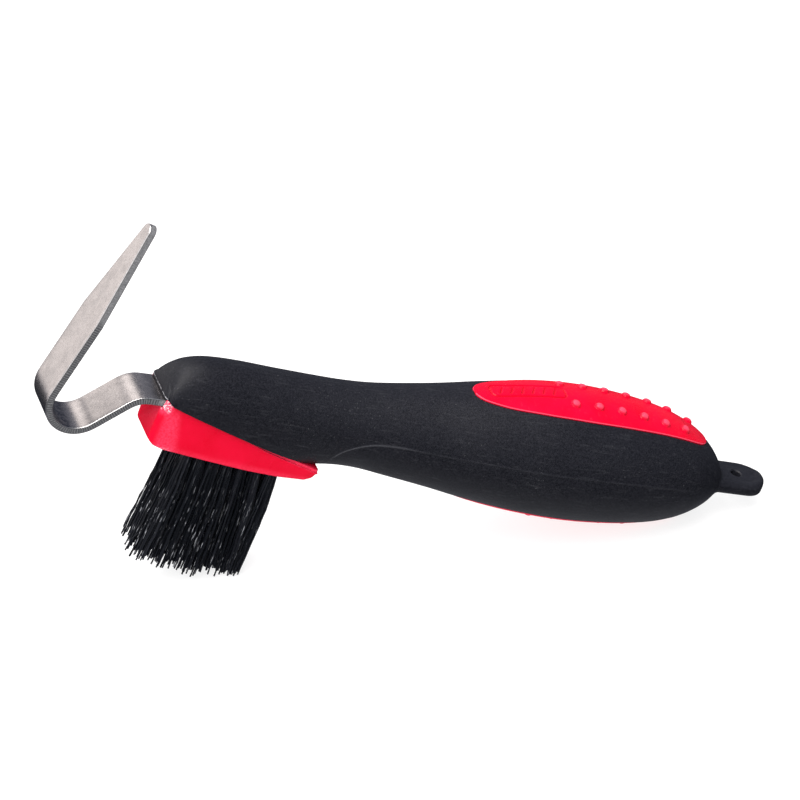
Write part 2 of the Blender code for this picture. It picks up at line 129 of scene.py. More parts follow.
# Pegs: x and top of each.
PEGS = [(25, 3.2), (41, -4.2)]
PEG_RADIUS, PEG_FOOT = 2, -13.5
HOLE_RADIUS, HOLE_MOUTH, HOLE_TOOL = 1.65, 5.2, 8

# Bristles.
TUFTS, FILAMENTS = 21, 43
FILAMENT_RADIUS, STRAY_RADIUS, STRAND_SIDES, STRAND_RINGS = 0.25, 0.075, 6, 15
BRUSH_MIDDLE, BRUSH_HALF, BRUSH_SPLAY, BRUSH_LEAN = 24.2, 14.5, 1.2, 0.6
GOLDEN_TURN, CLUMPING = 2.39996, 1.9
# Distances from the hole's bottom where strands start and where they begin to spread.
STRAND_START, LOOSE_START, CRIMP_PITCH = 1, 4.4, 7.5
TIP_CLEARANCE = 0.3

# Steel pick, along its middle line: the tang's end, the two bends, the prong.
STRIP_HALF, STRIP_THICK = 6.35, 2.1
TANG_END_X, TANG_HALF, TANG_NECK_X, TANG_NECK_END_X = 38, 4.8, 8.5, 5.5
CREST_X, CREST_RADIUS, CREST_TURN = -4, 7, radians(45)
SHANK_LENGTH, HOOK_RADIUS, PRONG_ANGLE = 11.2, 8.3, radians(76.5)
HOOK_TURN = pi + CREST_TURN - PRONG_ANGLE
PRONG_STRAIGHT, PRONG_TAPER, TIP_RADIUS = 23, 30, 2.3
BEND_EASE, LINE_STEP = 5, 0.02
RIB_PITCH, RIB_DEPTH = 0.68, 0.07

# Camera, in the handle's axes: turn, height and roll of the view, distance, width and target.
VIEW_TURN, VIEW_HEIGHT, VIEW_ROLL = radians(-30), radians(27.4), radians(22.9)
VIEW_DISTANCE, VIEW_WIDTH = 1200, 218.4
VIEW_TARGET = (70, 0, 6.5)

# Floor: half size and glow. FLOOR_MIRROR is the glow that steep downward reflections see.
FLOOR_REACH, FLOOR_GLOW, FLOOR_MIRROR = 6, 0.80, 0.45
# Bright areas of the room: direction, full inside this many degrees, gone at, strength.
ROOM_LEVEL = 0.17
ROOM_GLOWS = [((-0.03, 0.77, 0.64), 3, 16, 1.50), ((-0.64, 0.77, 0.10), 12, 43, 1.04),
              ((-0.38, -0.06, 0.92), 13, 39, 7.6), ((-0.30, -0.70, 0.64), 6, 27, 1.3),
              ((-0.84, -0.50, 0.10), 5, 20, 1.3)]
# Softboxes: name, place, size, power.
SOFTBOXES = [
    ("key_light", (-0.65, -0.68, 0.50), 0.7, 3.9), ("side_light", (0.70, -0.70, 0.45), 0.9, 2.4),
    ("back_light", (0.1, 0.8, 0.8), 0.8, 3.5),
]
LIGHT_TARGET = Vector((0, 0, 0.05))


# ---- places and curves

def handle_axes():
    """Matrix from the handle's axes in millimetres to the frame, from the hanging tab's mount."""
    mount = next(m for m in frame["record"]["mounts"] if m["name"] == "hang_tab_face")
    tilt = atan2(mount["axis"][0], mount["axis"][2])
    turn = Matrix.Rotation(tilt, 4, "Y")
    face = turn @ Vector((TAB_FACE[0] * MM, 0, TAB_FACE[1] * MM))
    return Matrix.Translation(Vector(mount["pos_m"]) - face) @ turn @ Matrix.Scale(MM, 4)


AXES = handle_axes()


def to_frame(points, axes=AXES):
    """Points in the handle's millimetres as points in the frame."""
    matrix = np.array(axes)
    return np.asarray(points) @ matrix[:3, :3].T + matrix[:3, 3]


def from_frame(points):
    """Points in the frame as points in the handle's millimetres."""
    return to_frame(points, AXES.inverted())


def blend(x, start, end):
    """Smooth step from 0 at start to 1 at end."""
    t = np.clip((np.asarray(x) - start) / (end - start), 0, 1)
    return t * t * (3 - 2 * t)


def bump(x, centre, width):
    """Smooth hump of height 1 at centre, gone at width to either side."""
    t = np.clip(1 - ((np.asarray(x) - centre) / width) ** 2, 0, 1)
    return t * t


def rounding(radius, left):
    """How far a rounded corner has drawn in at this distance from its end."""
    return radius - np.sqrt(radius**2 - np.clip(radius - left, 0, radius) ** 2)


def curve(table, x, column=1):
    """Cubic curve through one column of a table, at one x or many."""
    xs, ys = np.array(table)[:, (0, column)].T
    run, rise = (np.r_[v[1] - v[0], v[2:] - v[:-2], v[-1] - v[-2]] for v in (xs, ys))
    slopes = rise / run
    x = np.clip(x, xs[0], xs[-1])
    i = np.clip(np.searchsorted(xs, x, side="right") - 1, 0, len(xs) - 2)
    span = xs[i + 1] - xs[i]
    t = (x - xs[i]) / span
    return ((2 * t**3 - 3 * t**2 + 1) * ys[i] + (t**3 - 2 * t**2 + t) * span * slopes[i]
            + (3 * t**2 - 2 * t**3) * ys[i + 1] + (t**3 - t**2) * span * slopes[i + 1])


def handle(x):
    """Top, bottom, half width and level of the widest line of the handle at x."""
    return [curve(HANDLE_STATIONS, x, column) for column in (1, 2, 3, 4)]


def steps(*spans):
    """Stations from spans of (start, end, step), each span's end being the next one's start."""
    parts = [np.arange(start, end - step * 0.4, step) for start, end, step in spans]
    return np.concatenate(parts + [[spans[-1][1]]])


def unit(vectors):
    """Vectors brought to length 1."""
    return vectors / np.linalg.norm(vectors, axis=-1, keepdims=True)


def square_to(axis):
    """Two directions square to an axis and to each other."""
    side = unit(np.cross(axis, (0, 1, 0)))
    return side, np.cross(axis, side)


def turns(count):
    """Angles of evenly spaced points round a circle."""
    return np.arange(count) * 2 * pi / count


def seat(x):
    """Height of the sloping seat between the rubber and the brush block, with its raised front."""
    return SEAT_LEVEL + SEAT_SLOPE * x + LUG_RISE * (1 - blend(x, 0.2, LUG_END))


# ---- meshes

def add_object(name, data):
    """A new object in the scene."""
    item = bpy.data.objects.new(name, data)
    bpy.context.scene.collection.objects.link(item)
    return item


def store(mesh, label, values):
    """Keep a number for each vertex of a mesh."""
    layer = mesh.attributes.new(label, "FLOAT", "POINT")
    layer.data.foreach_set("value", np.asarray(values, np.float32))


def new_mesh(name, points, faces, attributes=None, weld=0):
    """An object of a closed mesh, its faces turned outwards and vertices nearer than weld joined."""
    mesh = bpy.data.meshes.new(name)
    mesh.from_pydata(to_frame(points).tolist(), [], faces)
    builder = bmesh.new()
    builder.from_mesh(mesh)
    if weld:
        bmesh.ops.remove_doubles(builder, verts=builder.verts, dist=weld)
    bmesh.ops.recalc_face_normals(builder, faces=builder.faces)
    builder.to_mesh(mesh)
    builder.free()
    for label, values in (attributes or {}).items():
        store(mesh, label, values)
    return add_object(name, mesh)


def grid_faces(index):
    """Quads over a grid of vertex numbers."""
    corners = [index[:-1, :-1], index[1:, :-1], index[1:, 1:], index[:-1, 1:]]
    return np.stack(corners, -1).reshape(-1, 4).tolist()


def loop_faces(near, far):
    """Quads between closed loops of vertex numbers."""
    quads = np.stack([near, np.roll(near, -1, -1), np.roll(far, -1, -1), far], -1)
    return quads.reshape(-1, 4).tolist()


def add_loft(points, faces, rings):
    """Append closed rings to lists of points and faces: quads between them, a cap at each end."""
    start = sum(len(part) for part in points)
    index = np.arange(start, start + rings.shape[0] * rings.shape[1]).reshape(rings.shape[:2])
    faces += loop_faces(index[:-1], index[1:]) + [index[0].tolist(), index[-1][::-1].tolist()]
    points.append(rings.reshape(-1, 3))


def loft(name, *groups, attributes=None):
    """One object of one or more skinned arrays of closed rings."""
    points, faces = [], []
    for rings in groups:
        add_loft(points, faces, rings)
    return new_mesh(name, np.concatenate(points), faces, attributes)


def mirror_ring(x, ys, zs):
    """A closed ring at x from its right half, top to bottom."""
    right = np.stack([np.full(len(ys), x), ys, zs], -1)
    return np.r_[right, (right * (1, -1, 1))[-2:0:-1]]


def spool(start, end, radii, segments=32):
    """Rings of a round bar between two points, from (share of the way, radius) pairs."""
    start, end = np.array(start), np.array(end)
    side, other = square_to(unit(end - start))
    angle = turns(segments)
    circle = np.outer(np.cos(angle), side) + np.outer(np.sin(angle), other)
    return np.array([start + (end - start) * share + circle * radius for share, radius in radii])


def carve(item, *jobs):
    """Apply exact Booleans in order from (operation, tool) pairs, and throw the tools away."""
    for operation, tool in jobs:
        modifier = item.modifiers.new(operation.lower(), "BOOLEAN")
        modifier.operation = operation
        modifier.solver = "EXACT"
        modifier.object = tool
    graph = bpy.context.evaluated_depsgraph_get()
    mesh = bpy.data.meshes.new_from_object(item.evaluated_get(graph), depsgraph=graph)
    item.modifiers.clear()
    item.data = mesh
    for _, tool in jobs:
        bpy.data.objects.remove(tool)


def paint(item, label, rule):
    """Store rule(points) on a finished mesh, for points in the handle's millimetres."""
    places = np.empty(len(item.data.vertices) * 3)
    item.data.vertices.foreach_get("co", places)
    store(item.data, label, rule(from_frame(places.reshape(-1, 3))))


def dress(item, material):
    """Give an object one material."""
    item.data.materials.clear()
    item.data.materials.append(material)


def finish_piece(item, material, node, angle=35):
    """Smooth shading with sharp edges, the material, and the CAD node that a piece stands for."""
    dress(item, material)
    item.data.shade_smooth()
    item.data.set_sharp_from_angle(angle=radians(angle))
    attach(item, "root")
    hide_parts(node)


# ---- materials

class Nodes:
    """Lays out the nodes of a material or of the world."""

    def __init__(self, tree):
        self.tree = tree

    def node(self, kind, inputs=None, **settings):
        """Adds a node with its settings and inputs, and returns its outputs."""
        made = self.tree.nodes.new("ShaderNode" + kind)
        for key, value in settings.items():
            setattr(made, key, value)
        for key, value in (inputs or {}).items():
            self.feed(made.inputs[key], value)
        return made.outputs

    def feed(self, socket, value):
        if isinstance(value, bpy.types.NodeSocket):
            self.tree.links.new(value, socket)
        else:
            socket.default_value = (*value, 1) if socket.type == "RGBA" else value

    def span(self, value, low, high, start=0, end=1, kind="LINEAR"):
        """Maps low..high to start..end and holds the ends."""
        inputs = {"Value": value, "From Min": low, "From Max": high, "To Min": start, "To Max": end}
        return self.node("MapRange", inputs, interpolation_type=kind)[0]

    def math(self, operation, a, b=0):
        return self.node("Math", {0: a, 1: b}, operation=operation)[0]

    def times(self, a, b):
        return self.math("MULTIPLY", a, b)

    def plus(self, a, b):
        return self.math("ADD", a, b)

    def mix(self, share, a, b):
        """Blend of two colours."""
        return self.node("Mix", {0: share, 6: a, 7: b}, data_type="RGBA")[2]

    def layers(self, colour, *added):
        """Colours laid over a first one, each as (mask, colour)."""
        for share, over in added:
            colour = self.mix(share, colour, over)
        return colour


class Shader(Nodes):
    """One Principled material."""

    def __init__(self, name):
        self.material = bpy.data.materials.new(name)
        self.material.use_nodes = True
        super().__init__(self.material.node_tree)
        self.base = self.tree.nodes["Principled BSDF"]
        self.place = self.node("TexCoord")["Object"]

    def set(self, **inputs):
        """Sets or links inputs of the material, and returns it."""
        for key, value in inputs.items():
            self.feed(self.base.inputs[key.replace("_", " ")], value)
        return self.material

    def attribute(self, label):
        return self.node("Attribute", attribute_name=label)["Fac"]

    def stretched(self, x, y, z):
        """Object coordinates scaled per axis of the handle, in cells per millimetre."""
        turn = AXES.to_3x3().normalized().to_euler()
        back = self.node("VectorRotate", {"Vector": self.place, "Rotation": turn},
                         rotation_type="EULER_XYZ", invert=True)
        scale = (x / MM, y / MM, z / MM)
        return self.node("VectorMath", {0: back[0], 1: scale}, operation="MULTIPLY")[0]

    def noise(self, cells, detail=2, roughness=0.5):
        """Noise between 0 and 1, over a scaled vector or with this many cells per millimetre."""
        scaled = isinstance(cells, bpy.types.NodeSocket)
        vector, scale = (cells, 1) if scaled else (self.place, cells / MM)
        inputs = {"Vector": vector, "Scale": scale, "Detail": detail, "Roughness": roughness}
        return self.node("TexNoise", inputs)["Fac"]

    def bump(self, height, depth, **below):
        return self.node("Bump", {"Height": height, "Distance": depth * MM, **below})[0]


def nose_lip_highlight(s):
    """Mask of the thin painted highlight line on the nose's front, just above the steel."""
    origin = AXES.inverted().translation
    place = s.node("SeparateXYZ", {0: s.stretched(1, 1, 1)})
    away = s.math("ABSOLUTE", s.plus(place["Z"], origin.z - LIP_LEVEL))
    back = s.plus(place["X"], origin.x)
    return s.times(s.span(away, 0.09, 0.16, 1, 0), s.span(back, 0.35, 0.6, 1, 0))


def rubber_material():
    """Matte black moulded rubber: fine grain, faint cloudiness, dust, rubs; painted highlights on the
    moulding line and nose.
    """
    s = Shader("black_rubber")
    grain = s.noise(1.9, 5, 0.72)
    clouds = s.noise(0.06, 4, 0.6)
    rubs = s.noise(s.stretched(0.12, 1.2, 1.2), 4, 0.65)
    dust = s.times(s.span(s.noise(1.7), 0.66, 0.74), s.span(clouds, 0.42, 0.65))
    # Painted highlight: a thin pale line on the nose's rim, just above the steel.
    lip = s.times(nose_lip_highlight(s), s.span(s.noise(0.9, 3), 0.40, 0.56))
    colour = s.mix(s.span(clouds, 0.3, 0.7), (0.0027, 0.003, 0.0051), (0.0048, 0.0052, 0.008))
    colour = s.layers(colour, (s.span(grain, 0.38, 0.66), (0.0118, 0.0123, 0.0172)),
                      (s.span(rubs, 0.56, 0.78, 0, 0.5), (0.032, 0.033, 0.038)),
                      (s.times(dust, 0.5), (0.085, 0.086, 0.09)),
                      # Painted highlight: a pale band along the moulding line's ridge.
                      (s.attribute("seam"), (0.040, 0.041, 0.048)), (lip, (0.3, 0.3, 0.32)))
    rough = s.plus(s.span(clouds, 0.3, 0.7, 0.42, 0.54), s.span(grain, 0.3, 0.7, -0.07, 0.07))
    s.set(Base_Color=colour, Roughness=rough, Specular_IOR_Level=0.24)
    return s.set(Normal=s.bump(s.noise(0.35), 0.05, Normal=s.bump(grain, 0.07)))


def red_material(name, scuffed):
    """Crimson moulded plastic with a satin skin; the scuffed one has stress-whitened marks and painted
    highlights.
    """
    s = Shader(name)
    grain = s.noise(3, 3, 0.6)
    clouds = s.noise(0.12, 3, 0.6)
    colour = s.mix(s.span(clouds, 0.3, 0.7), (0.565, 0.0002, 0.017), (0.625, 0.0005, 0.024))
    pale_marks = s.span(s.noise(s.stretched(1.5, 0.5, 0.22), 3, 0.65), 0.62, 0.88, 0, 0.20)
    if scuffed:
        # Stress-whitening at the lugs, with painted highlights at the front, the lower edge and the
        # shelf's rim.
        wear_and_highlight = s.attribute("wear_and_highlight")
        flecks = s.span(s.noise(1.6, 4, 0.7), 0.34, 0.66, 0.25, 1)
        pale_marks = s.math("MAXIMUM", s.times(pale_marks, 0.4), s.times(wear_and_highlight, flecks))
    colour = s.layers(colour, (s.times(pale_marks, 0.8), (0.94, 0.10, 0.21)),
                      # Painted shade: darker colour in the sunk frame's grooves.
                      (s.attribute("groove"), (0.42, 0, 0.01)),
                      # Painted highlight on the nub tops and along the inlays' rounded edge.
                      (s.attribute("painted_highlight"), (0.86, 0.11, 0.19)))
    rough = s.plus(s.span(clouds, 0.3, 0.7, 0.27, 0.35), s.span(grain, 0.3, 0.7, -0.04, 0.05))
    skin = s.bump(s.noise(0.4), 0.04, Normal=s.bump(grain, 0.012))
    if scuffed:
        crumbs = s.noise(2, 4, 0.7)
        torn = s.span(wear_and_highlight, 0.62, 0.95)
        flakes = s.times(torn, s.span(crumbs, 0.47, 0.56))
        colour = s.mix(flakes, colour, (0.95, 0.62, 0.68))
        skin = s.bump(s.times(torn, crumbs), 0.5, Normal=skin)
    s.set(Base_Color=colour, Roughness=rough, Specular_IOR_Level=0.06 if scuffed else 0.12)
    return s.set(Normal=skin)


def steel_material():
    """Satin strip steel: mottled faces, rolled streaks, ribbed edges; painted shade at the bends,
    painted bright corners.
    """
    s = Shader("strip_steel")
    rim = s.attribute("rim")
    speck = s.noise(2.2, 5, 0.72)
    clouds = s.noise(0.22, 4, 0.65)
    way = s.node("CombineXYZ", {"X": s.times(s.attribute("along"), 0.12)})[0]
    lines = s.node("VectorMath", {0: s.stretched(0, 3, 0), 1: way}, operation="ADD")[0]
    streaks = s.noise(lines, 3, 0.6)
    face = s.mix(s.span(speck, 0.34, 0.66), (0.53, 0.485, 0.47), (0.76, 0.705, 0.69))
    face = s.layers(face, (s.span(clouds, 0.42, 0.70, 0, 0.6), (0.40, 0.375, 0.37)),
                    (s.span(streaks, 0.56, 0.8, 0, 0.45), (0.36, 0.345, 0.345)))
    edge = s.mix(s.span(speck, 0.35, 0.65), (0.12, 0.122, 0.128), (0.30, 0.302, 0.310))
    # Painted shade: the edge is darker in the valleys of the shear ribs.
    edge = s.mix(s.times(s.attribute("rib"), 0.9), edge, (0.040, 0.042, 0.046))
    # Painted highlight: a bright line round each corner, with a painted dark line just past it towards
    # the edge.
    edge_highlight = s.times(s.span(rim, 0.05, 0.20), s.span(rim, 0.50, 0.65, 1, 0))
    edge_shade_line = s.times(s.span(rim, 0.60, 0.72), s.span(rim, 0.80, 0.95, 0.9, 0))
    blotches = s.span(s.noise(1.1, 5, 0.75), 0.34, 0.58, 0.35, 1)
    # Painted shade and dark reflections, in patchy blotches: at the nose, the shank's foot and round
    # the hook.
    painted_shade = s.times(s.attribute("painted_shade"), blotches)
    colour = s.layers(face, (s.span(rim, 0.55, 0.78), edge), (edge_highlight, (0.88, 0.87, 0.86)),
                      (edge_shade_line, (0.03, 0.03, 0.032)), (painted_shade, (0.050, 0.056, 0.085)))
    rough = s.plus(s.span(speck, 0.3, 0.7, 0.20, 0.36), s.times(rim, 0.10))
    s.set(Base_Color=colour, Metallic=s.span(rim, 0.55, 0.8, 1, 0.25), Roughness=rough)
    return s.set(Normal=s.bump(streaks, 0.018, Normal=s.bump(speck, 0.026)))


def nylon_material():
    """Black brush filament, glossy, with pale flecks where the crimps catch the light."""
    s = Shader("black_nylon")
    tone = s.attribute("tone")
    colour = s.mix(tone, (0.003, 0.0035, 0.005), (0.010, 0.011, 0.015))
    glint = s.span(s.noise(s.stretched(2.6, 2.6, 0.18)), 0.64, 0.69)
    glint = s.times(glint, s.span(s.attribute("way"), 0.25, 0.7, 0.1, 1))
    s.set(Base_Color=s.mix(glint, colour, (0.36, 0.37, 0.40)), Specular_IOR_Level=0.28)
    return s.set(Roughness=s.span(tone, 0, 1, 0.20, 0.36), Normal=s.bump(s.noise(1.5), 0.02))


def hidden_material(name, dark, light, metallic, roughness):
    """Finish of a piece inside the handle: mottled in two tones, with a fine grain."""
    s = Shader(name)
    grain = s.noise(3, 3)
    s.set(Base_Color=s.mix(s.span(grain, 0.3, 0.7), dark, light), Metallic=metallic)
    rough = s.span(grain, 0.3, 0.7, roughness - 0.05, roughness + 0.08)
    return s.set(Roughness=rough, Normal=s.bump(grain, 0.01))


# ---- the rubber skin

def tab_half_width(x):
    """Half width of the hanging tab: a slight taper and a round end."""
    share = np.clip((x - TAB_START) / (TAB_CENTRE - TAB_START), 0, 1)
    taper = TAB_ROOT_HALF + (TAB_HALF - TAB_ROOT_HALF) * share
    past = np.clip(x - TAB_CENTRE, 0, TAB_HALF - 0.02)
    return np.where(x > TAB_CENTRE, np.sqrt(TAB_HALF**2 - past**2), taper)


def section(x):
    """Right half of the handle's cross section at x, from top to bottom, as y and z."""
    top, bottom, half, level = handle(x)
    square = 2 + (HEAD_SQUARENESS - 2) * (1 - blend(x, HEAD_END, NECK_START))
    angle = np.linspace(pi / 2, -pi / 2, 721)
    c, s = np.abs(np.cos(angle)), np.abs(np.sin(angle))
    wide = c / max(half, THINNEST)
    upper = wide**2 + (s / max(top - level, THINNEST)) ** 2
    lower = wide**square + (s / max(level - bottom, THINNEST)) ** square
    reach = np.where(angle > 0, upper**-0.5, lower ** (-1 / square))
    if x > TAB_RISE:
        end = 1 - (1 - min((TAB_END - x) / TAB_EDGE, 1)) ** 3
        thick = TAB_HALF_THICK * max(end, 0.02) ** (1 / 3)
        rise = np.where(angle > 0, TAB_LEVEL + thick - level, level - TAB_LEVEL + thick)
        flat = (c / tab_half_width(x)) ** TAB_SQUARENESS + (s / rise) ** TAB_SQUARENESS
        flat = flat ** (-1 / TAB_SQUARENESS) * blend(x, TAB_RISE, TAB_START)
        near = np.clip(TAB_BLEND - np.abs(reach - flat), 0, None) / TAB_BLEND
        soft = TAB_BLEND * blend(x, TAB_START, TAB_START + 2) * (1 - blend(x, 177, 180))
        reach = np.maximum(reach, flat) + near**2 * soft / 4
    return reach * np.cos(angle), level + reach * np.sin(angle)


def skin_side(x, y, z):
    """The skin from the middle of the top down to its rounded lower edge, with the moulding line."""
    s = np.r_[0, np.cumsum(np.hypot(np.diff(y), np.diff(z)))]
    length = s[-1]
    fine = min(1, length / 20)
    at_edge = np.interp(-seat(x), -z, s) if x < SEAT_END else length
    at_edge = min(at_edge, length - 1.6 * fine)
    seam = seat(x) + 1.1 if x < SEAM_LINE[0][0] else curve(SEAM_LINE, x)
    at_seam = min(np.interp(-seam, -z, s), at_edge - 1.05 * fine)
    across, height = np.array(SEAM_ROWS).T
    rows = np.r_[np.linspace(0, at_seam - 0.6 * fine, UPPER_ROWS), at_seam + across * fine,
                 np.linspace(at_seam + 0.52 * fine, at_edge - 0.42 * fine, LOWER_ROWS),
                 at_edge - EDGE_ROWS * fine]
    ny, nz = -np.interp(rows, s, np.gradient(z, s)), np.interp(rows, s, np.gradient(y, s))
    size = np.hypot(ny, nz) + 1e-9

    # The moulding line fades towards the tab and is a little uneven.
    push = np.zeros(len(rows))
    strength = SEAM_HEIGHT * blend(x, 50.8, 52) * (1 - blend(x, 150, 168))
    strength *= 0.75 + 0.25 * sin(x * 0.9) * sin(x * 0.37 + 1)
    push[UPPER_ROWS:UPPER_ROWS + len(height)] += height * strength
    push[-len(EDGE_ROWS):] -= rounding(LOWER_ROUND, EDGE_ROWS * fine) * (1 - blend(x, 50.5, 52.8))
    # The nose is rounded, with a small rim and a groove behind it.
    push += 0.12 * bump(x, 0.45, 0.4) - 0.24 * bump(x, 1.15, 0.4) - rounding(NOSE_ROUND, x)
    side_y, side_z = np.interp(rows, s, y) + ny / size * push, np.interp(rows, s, z) + nz / size * push
    side_y[0] = 0.0
    return side_y, side_z


def skin_underside(x, y, z, edge):
    """The skin from its lower edge to the middle below: along the seat, or round the steel."""
    low = slice(int(np.argmax(y)), None)
    under_y = edge * (1 - np.linspace(0, 1, 11)[1:])
    under_z = np.interp(under_y, y[low][::-1], z[low][::-1])
    if x < SEAT_END + 1:
        under_z = np.maximum(under_z, seat(x))
    slot = 1 - blend(x, *SLOT_FADE)
    if slot > 0:
        slot_y = np.r_[SLOT_HALF + 0.05, SLOT_HALF, np.arange(7, -1, -1) * 0.8]
        slot_z = np.r_[seat(x), [SLOT_CEILING] * 9]
        slot_y = np.minimum(slot_y, edge - 0.02 * np.arange(1, 11) * (slot_y > 0))
        under_y += (slot_y - under_y) * slot
        under_z += (slot_z - under_z) * slot
    return under_y, under_z


def skin_ring(x):
    """One closed ring of the rubber skin."""
    y, z = section(x)
    side = skin_side(x, y, z)
    ys, zs = np.concatenate([side, skin_underside(x, y, z, side[0][-1])], 1)
    if x > TAB_START:
        inwards = TAB_HALF - np.hypot(ys, max(x - TAB_CENTRE, 0))
        dish = TAB_DISH * blend(inwards, 0.8, 3.4) * blend(x, 176.5, 180)
        zs = zs - np.sign(zs - TAB_LEVEL) * dish
    return mirror_ring(x, ys, zs)


def seam_highlight(points):
    """Painted highlight on the moulding line: how close each point is to it along the sides, from 0 to
    1.
    """
    x, _, z = points.T
    rise = (curve(SEAM_LINE, x + 0.1) - curve(SEAM_LINE, x - 0.1)) / 0.2
    away = (z - curve(SEAM_LINE, x)) / np.sqrt(1 + rise**2)
    strength = blend(x, 51, 53) * (1 - 0.86 * blend(x, 60, 80)) * (1 - blend(x, 150, 172))
    return np.exp(-(away / SEAM_HIGHLIGHT_WIDTH) ** 2) * strength


def core_cavity():
    """The room for the hard core inside the skin."""
    angle = turns(40)
    rings = []
    for x in np.linspace(CAVITY_START, CAVITY_END, 40):
        top, bottom, half, level = handle(x)
        reach = np.where(np.sin(angle) > 0, top - level - RUBBER_WALL, level - bottom - RUBBER_WALL)
        rings.append(np.stack([np.full_like(angle, x), (half - RUBBER_WALL) * np.cos(angle),
                               level + reach * np.sin(angle)], -1))
    return loft("cavity_tool", np.array(rings))


def build_skin(material):
    """Black rubber skin with its hanging tab, open for the core, the inlays and the tab's eye."""
    xs = steps((0, 0.5, 0.05), (0.5, 1.7, 0.1), (1.7, 6, 0.3), (6, 49.5, 0.8), (49.5, 57, 0.25),
               (57, 164, 0.9), (164, 169, 0.4), (169, 178, 0.15), (178, TAB_CENTRE, 0.4))
    xs = np.r_[xs, TAB_CENTRE + (TAB_HALF - 0.03) * np.sin(np.linspace(0, pi / 2, 26)[1:])]
    skin = loft("rubber_skin", np.array([skin_ring(x) for x in xs]))
    profile = [(0, 6), (0.25, 2.8), (0.285, 2.1), (0.34, TAB_EYE_RADIUS), (0.71, TAB_EYE_RADIUS),
               (0.765, 2.1), (0.80, 2.8), (1, 6)]
    eye = spool((TAB_EYE_X, 0, -8), (TAB_EYE_X, 0, 0.2), profile, 48)
    tools = [core_cavity()]
    tools += [inlay_window(1), inlay_window(-1), loft("eye_tool", eye)]
    carve(skin, *[("DIFFERENCE", tool) for tool in tools])
    # The pale band along the moulding line is a painted highlight.
    paint(skin, "seam", seam_highlight)
    finish_piece(skin, material, "rubber_grip")


# ---- the red inlays

def surface(x, y, side):
    """Height of the handle at x, y on its upper (+1) or lower (-1) side."""
    top, bottom, half, level = handle(x)
    reach = top - level if side > 0 else level - bottom
    return level + side * reach * np.sqrt(np.clip(1 - (y / half) ** 2, 0, None))


def raised(x, y, side, level):
    """Points that stand off the handle's surface by level, square to it."""
    step = 0.05
    z = surface(x, y, side)
    slope_x = (surface(x + step, y, side) - z) / step
    slope_y = (surface(x, y + step, side) - z) / step
    normal = unit(np.stack([-slope_x, -slope_y, np.ones_like(z)], -1) * side)
    return np.stack([x, y, z], -1) + normal * np.asarray(level)[..., None]


def inlay_places(columns, rows, inset):
    """Grid of places over an inlay drawn in by inset: x, y and the distance to its edge."""
    first, last = PAD_OUTLINE[0][0], PAD_OUTLINE[-1][0]
    middle, reach = (first + last) / 2, (last - first) / 2
    # The columns crowd towards the round ends and stop just short of them.
    turn = np.linspace(-0.985, 0.985, columns)
    share = 0.35 * np.sin(turn * pi / 2) + 0.65 * turn
    x = middle + (reach - inset) * share
    squares = [(u, v * v) for u, v in PAD_OUTLINE]
    wide = np.sqrt(np.clip(curve(squares, middle + reach * share), 0, None))
    wide = np.maximum(wide - inset * np.minimum(1, wide / 2), 0.12)[:, None]
    ys = wide * np.sin(np.linspace(-pi / 2, pi / 2, rows))
    slope = np.gradient(wide[:, 0], x)[:, None]
    return np.repeat(x[:, None], rows, 1), ys, (wide - np.abs(ys)) / np.sqrt(1 + slope**2)


def inlay_grid(side, columns, rows, inset, level):
    """Grid of points over an inlay drawn in by inset, all at one level."""
    xs, ys, _ = inlay_places(columns, rows, inset)
    return raised(xs, ys, side, level)


def outline_of(grid):
    """The closed edge of a grid."""
    return np.r_[grid[:, -1], grid[-1, -2:0:-1], grid[::-1, 0], grid[0, 1:-1]]


def inlay_window(side):
    """Cutter for an inlay's seat, which flares at the surface to leave a rounded lip."""
    columns, rows = 150, 17
    grids = [inlay_grid(side, columns, rows, inset, level) for inset, level in WINDOW_STEPS]
    rings = np.concatenate([outline_of(grid) for grid in grids])
    points = np.r_[grids[0].reshape(-1, 3), rings, grids[-1].reshape(-1, 3)]
    cap = np.arange(columns * rows).reshape(columns, rows)
    belt = np.arange(len(rings)).reshape(len(grids), -1) + cap.size
    far_cap = cap + cap.size + belt.size
    loops = np.vstack([outline_of(cap), belt, outline_of(far_cap)])
    faces = grid_faces(cap) + grid_faces(far_cap) + loop_faces(loops[:-1], loops[1:])
    return new_mesh("window_tool", points, faces, weld=1e-7)


def nub_rings(side):
    """A domed nub for every place in the rows, square to the handle's surface."""
    domes = []
    for row_y, start, pitch, count in NUB_ROWS:
        x = start + pitch * np.arange(count)
        y = row_y * np.where(x > NUB_TAPER_X, 0.8, 1)
        for foot, above in zip(raised(x, y, side, PAD_PROUD), raised(x, y, side, 1)):
            domes.append(spool(foot, foot + unit(above - foot), NUB_PROFILE, NUB_SIDES))
    return domes


def frame_groove(x, y):
    """How deep in the plain sunk frame and its slanted bars each point is, from 0 to 1."""
    along = x - FRAME_X
    past_side, past_end = np.abs(y) - FRAME_WIDE, np.abs(along) - FRAME_LONG
    corner = np.hypot(np.clip(past_side, 0, None), np.clip(past_end, 0, None))
    inside = np.minimum(np.maximum(past_side, past_end), 0)
    groove = np.exp(-((corner + inside - FRAME_OUT) / FRAME_LINE) ** 2)
    for middle in np.linspace(-BAR_REACH, BAR_REACH, BAR_COUNT):
        slant = np.abs(along - middle - 0.5 * y) / BAR_LINE
        ends = np.clip(np.abs(y) - BAR_HALF, 0, None) / BAR_LINE
        groove = np.maximum(groove, np.exp(-(slant**2 + ends**2)))
    return groove


